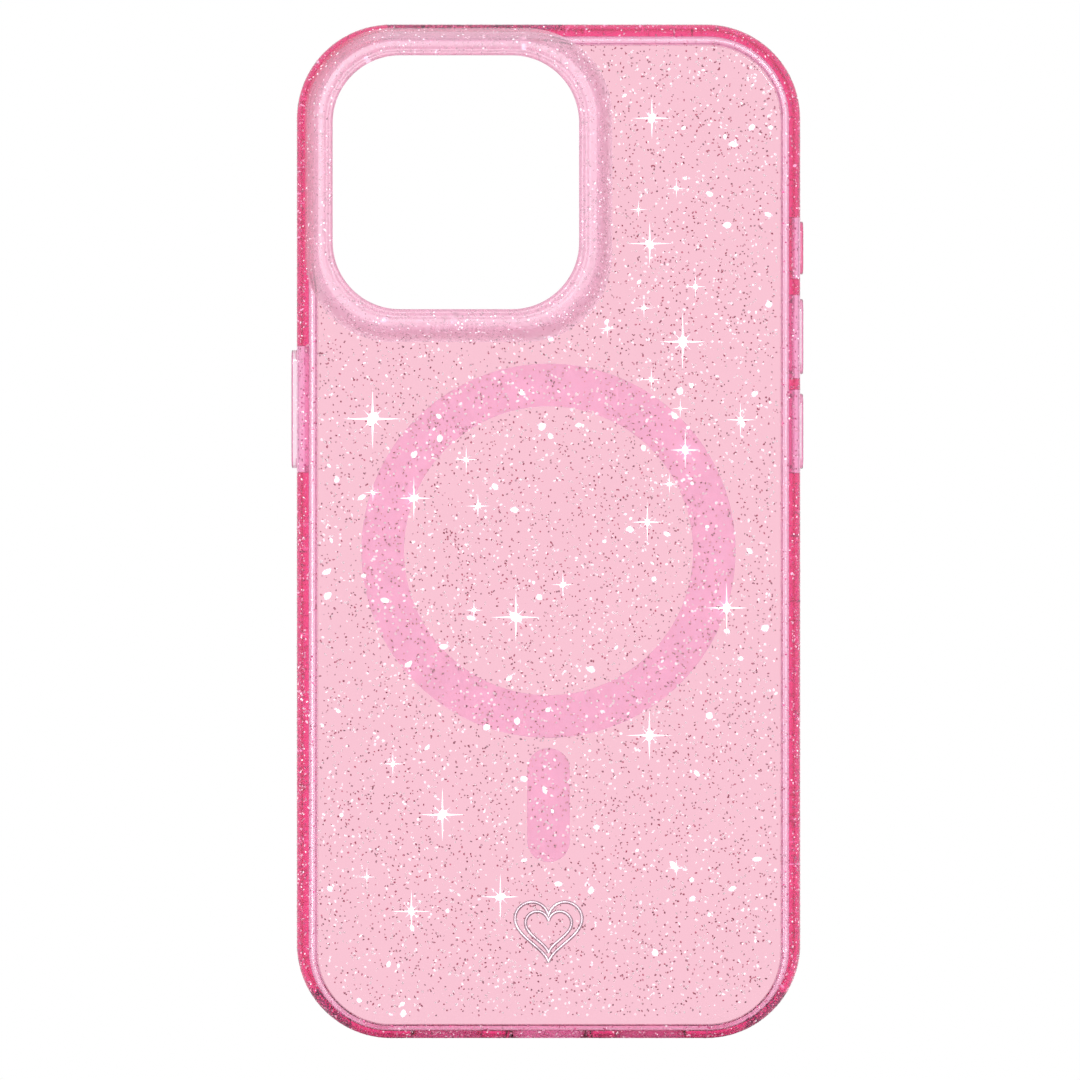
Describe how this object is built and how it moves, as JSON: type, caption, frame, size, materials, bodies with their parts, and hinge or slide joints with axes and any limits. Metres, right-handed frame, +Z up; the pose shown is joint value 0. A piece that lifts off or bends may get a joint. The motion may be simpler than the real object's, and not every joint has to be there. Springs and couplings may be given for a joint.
{
  "type": "phone case",
  "caption": "Clear pink glitter phone case: hard back plate in a soft bumper with a raised camera guard, magnet ring and bar, and sprung side button caps.",
  "frame": {"origin": "centre of the footprint, on the surface the case stands on when it is upright on its bottom edge", "axes": "+Z up the case towards the camera end, -Y the outside of the back, +Y the open screen side, +X the wall with the volume buttons"},
  "size_m": [0.0764, 0.0142, 0.151],
  "materials": {
    "bumper_plastic": "clear pink soft plastic with glitter, deep pink where thick",
    "plate_plastic": "clear pale pink hard plastic with glitter, polished",
    "guard_plastic": "clear mauve pink plastic with fine glitter",
    "button_plastic": "clear pink soft plastic, satin",
    "lilac_film": "printed lilac pink film, satin",
    "cover_film": "white matt film",
    "magnet_nickel": "nickel plated",
    "emblem_foil": "raised silvery outline"
  },
  "bodies": {
    "case_body": {"bumper_frame": "bumper_plastic", "back_plate": "plate_plastic", "camera_guard": "guard_plastic", "heart_emblem": "emblem_foil", "ring_outer_film": "lilac_film", "bar_outer_film": "lilac_film", "ring_inner_cover": "cover_film", "bar_inner_cover": "cover_film", "alignment_magnet": "magnet_nickel", "ring_magnet_01": "magnet_nickel", "ring_magnet_02": "magnet_nickel", "ring_magnet_03": "magnet_nickel", "ring_magnet_04": "magnet_nickel", "ring_magnet_05": "magnet_nickel", "ring_magnet_06": "magnet_nickel", "ring_magnet_07": "magnet_nickel", "ring_magnet_08": "magnet_nickel", "ring_magnet_09": "magnet_nickel", "ring_magnet_10": "magnet_nickel", "ring_magnet_11": "magnet_nickel", "ring_magnet_12": "magnet_nickel", "ring_magnet_13": "magnet_nickel", "ring_magnet_14": "magnet_nickel", "ring_magnet_15": "magnet_nickel", "ring_magnet_16": "magnet_nickel", "ring_magnet_17": "magnet_nickel", "ring_magnet_18": "magnet_nickel"},
    "side_button_cap": {"side_button": "button_plastic"},
    "action_button_cap": {"action_button": "button_plastic"},
    "volume_up_cap": {"volume_up_button": "button_plastic"},
    "volume_down_cap": {"volume_down_button": "button_plastic"}
  },
  "joints": [
    {"name": "side_button_press", "type": "slide", "parent": "case_body", "child": "side_button_cap", "axis": [1, 0, 0], "range_m": [0, 0.0004], "stiffness_N_per_m": 500},
    {"name": "action_button_press", "type": "slide", "parent": "case_body", "child": "action_button_cap", "axis": [-1, 0, 0], "range_m": [0, 0.0004], "stiffness_N_per_m": 500},
    {"name": "volume_up_press", "type": "slide", "parent": "case_body", "child": "volume_up_cap", "axis": [-1, 0, 0], "range_m": [0, 0.0004], "stiffness_N_per_m": 500},
    {"name": "volume_down_press", "type": "slide", "parent": "case_body", "child": "volume_down_cap", "axis": [-1, 0, 0], "range_m": [0, 0.0004], "stiffness_N_per_m": 500}
  ]
}
